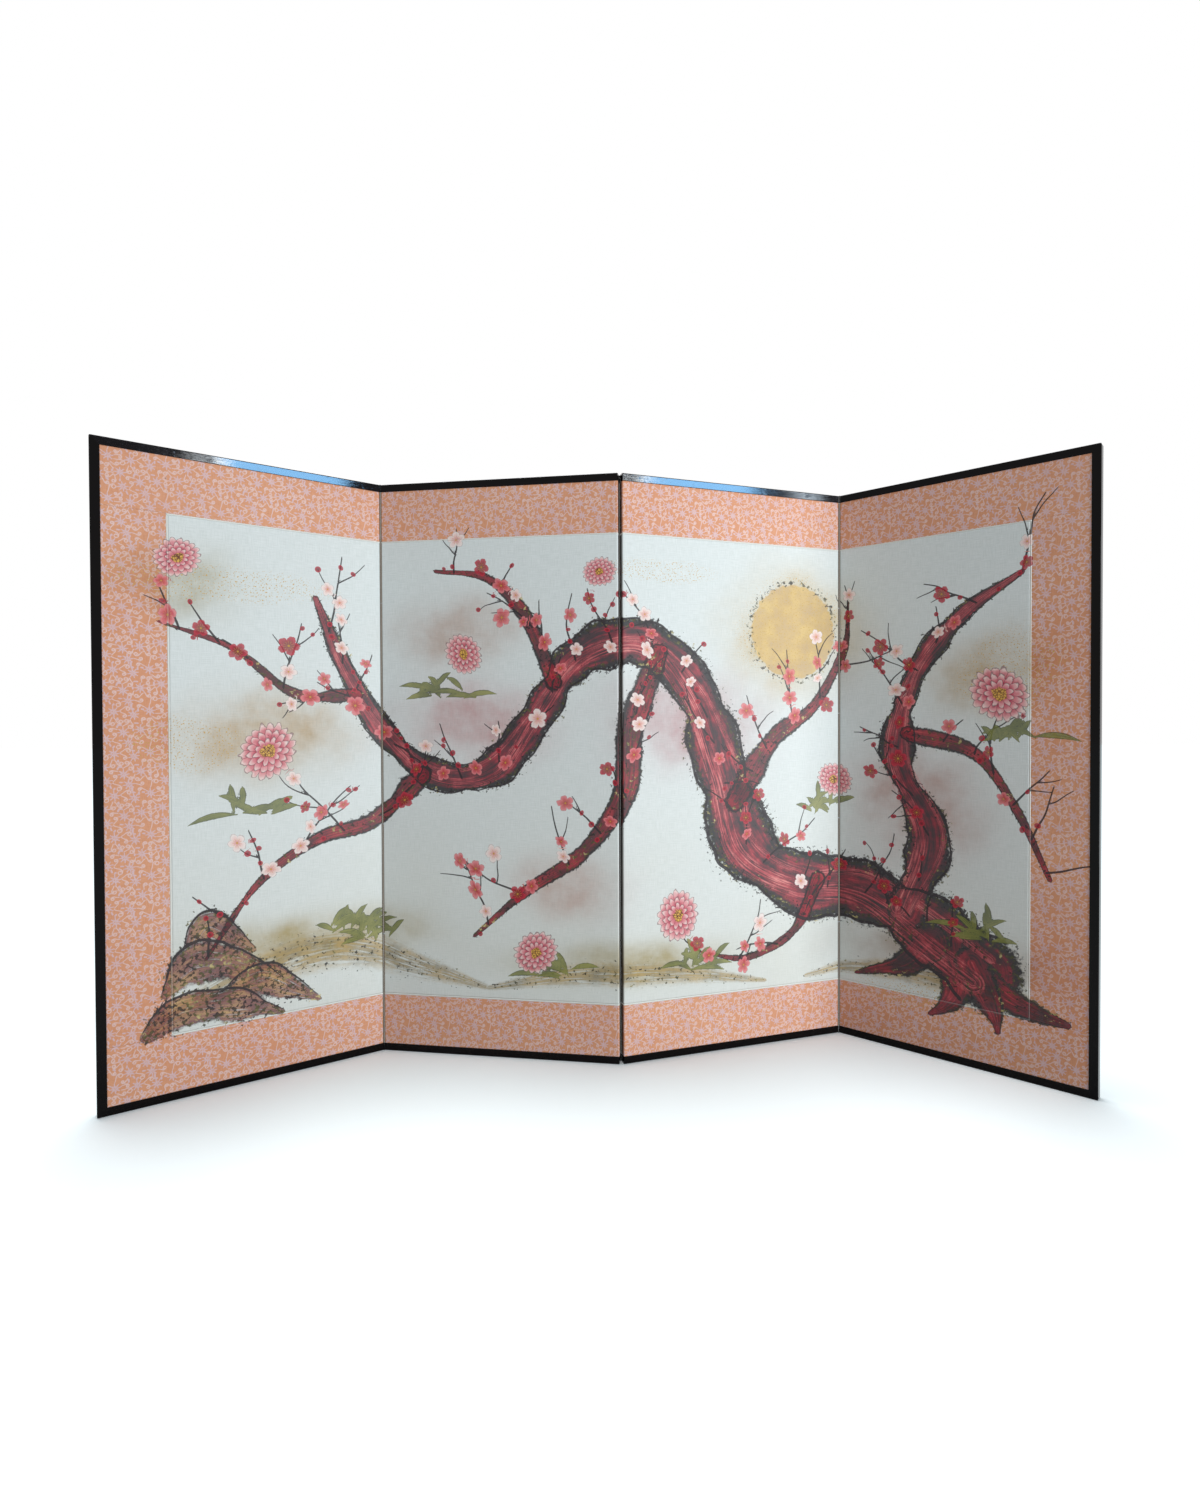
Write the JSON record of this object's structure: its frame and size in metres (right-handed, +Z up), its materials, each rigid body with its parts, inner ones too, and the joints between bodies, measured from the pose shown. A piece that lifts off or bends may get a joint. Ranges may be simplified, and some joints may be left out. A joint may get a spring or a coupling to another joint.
{
  "type": "folding screen",
  "caption": "Low folding screen of hinged panels in a zigzag: silk picture field, brocade borders, slim black lacquer frame, paper hinges.",
  "frame": {"origin": "on the floor, under the centre of the box round the standing zigzag", "axes": "+X along the screen to the viewer's right, +Y away from the viewer, +Z up; the painted side faces -Y"},
  "size_m": [1.3848, 0.272, 0.914],
  "materials": {
    "black_lacquer": "gloss black lacquer on cypress, edges eased",
    "brocade": "salmon orange brocade with a pale flowering-vine pattern",
    "painting_silk": "pale grey plain-weave silk with an ink and colour picture",
    "pale_fillet": "pale paper line",
    "back_paper": "dull green printed paper with a small repeating pattern",
    "under_paper": "layers of handmade paper",
    "hinge_paper": "strong handmade hinge paper",
    "cedar": "planed cedar",
    "bamboo": "split bamboo"
  },
  "bodies": {
    "panel_1": {"panel_1_core_left_stile": "cedar", "panel_1_core_right_stile": "cedar", "panel_1_core_rails": "cedar", "panel_1_lattice_uprights": "cedar", "panel_1_lattice_crossbars": "cedar", "panel_1_under_papers": "under_paper", "panel_1_painting_silk": "painting_silk", "panel_1_brocade_border": "brocade", "panel_1_pale_fillet": "pale_fillet", "panel_1_back_paper": "back_paper", "panel_1_top_rail": "black_lacquer", "panel_1_bottom_rail": "black_lacquer", "panel_1_bamboo_nails": "bamboo", "panel_1_outer_stile": "black_lacquer", "fold_1_hinge_strips_left": "hinge_paper"},
    "panel_2": {"panel_2_core_left_stile": "cedar", "panel_2_core_right_stile": "cedar", "panel_2_core_rails": "cedar", "panel_2_lattice_uprights": "cedar", "panel_2_lattice_crossbars": "cedar", "panel_2_under_papers": "under_paper", "panel_2_painting_silk": "painting_silk", "panel_2_brocade_border": "brocade", "panel_2_pale_fillet": "pale_fillet", "panel_2_back_paper": "back_paper", "panel_2_top_rail": "black_lacquer", "panel_2_bottom_rail": "black_lacquer", "panel_2_bamboo_nails": "bamboo", "fold_1_hinge_strips_right": "hinge_paper", "fold_2_hinge_strips_left": "hinge_paper"},
    "panel_3": {"panel_3_core_left_stile": "cedar", "panel_3_core_right_stile": "cedar", "panel_3_core_rails": "cedar", "panel_3_lattice_uprights": "cedar", "panel_3_lattice_crossbars": "cedar", "panel_3_under_papers": "under_paper", "panel_3_painting_silk": "painting_silk", "panel_3_brocade_border": "brocade", "panel_3_pale_fillet": "pale_fillet", "panel_3_back_paper": "back_paper", "panel_3_top_rail": "black_lacquer", "panel_3_bottom_rail": "black_lacquer", "panel_3_bamboo_nails": "bamboo", "fold_2_hinge_strips_right": "hinge_paper", "fold_3_hinge_strips_left": "hinge_paper"},
    "panel_4": {"panel_4_core_left_stile": "cedar", "panel_4_core_right_stile": "cedar", "panel_4_core_rails": "cedar", "panel_4_lattice_uprights": "cedar", "panel_4_lattice_crossbars": "cedar", "panel_4_under_papers": "under_paper", "panel_4_painting_silk": "painting_silk", "panel_4_brocade_border": "brocade", "panel_4_pale_fillet": "pale_fillet", "panel_4_back_paper": "back_paper", "panel_4_top_rail": "black_lacquer", "panel_4_bottom_rail": "black_lacquer", "panel_4_bamboo_nails": "bamboo", "panel_4_outer_stile": "black_lacquer", "fold_3_hinge_strips_right": "hinge_paper"}
  },
  "joints": [
    {"name": "fold_1", "type": "hinge", "parent": "panel_2", "child": "panel_1", "pos_m": [-0.36229, 0.07877, 0], "axis": [0, 0, 1], "range_deg": [-44, 136]},
    {"name": "fold_2", "type": "hinge", "parent": "panel_2", "child": "panel_3", "pos_m": [0.02103, 0.02339, 0], "axis": [0, 0, 1], "range_deg": [-27.5, 152.5]},
    {"name": "fold_3", "type": "hinge", "parent": "panel_3", "child": "panel_4", "pos_m": [0.39562, 0.12181, 0], "axis": [0, 0, 1], "range_deg": [-121, 59]}
  ]
}
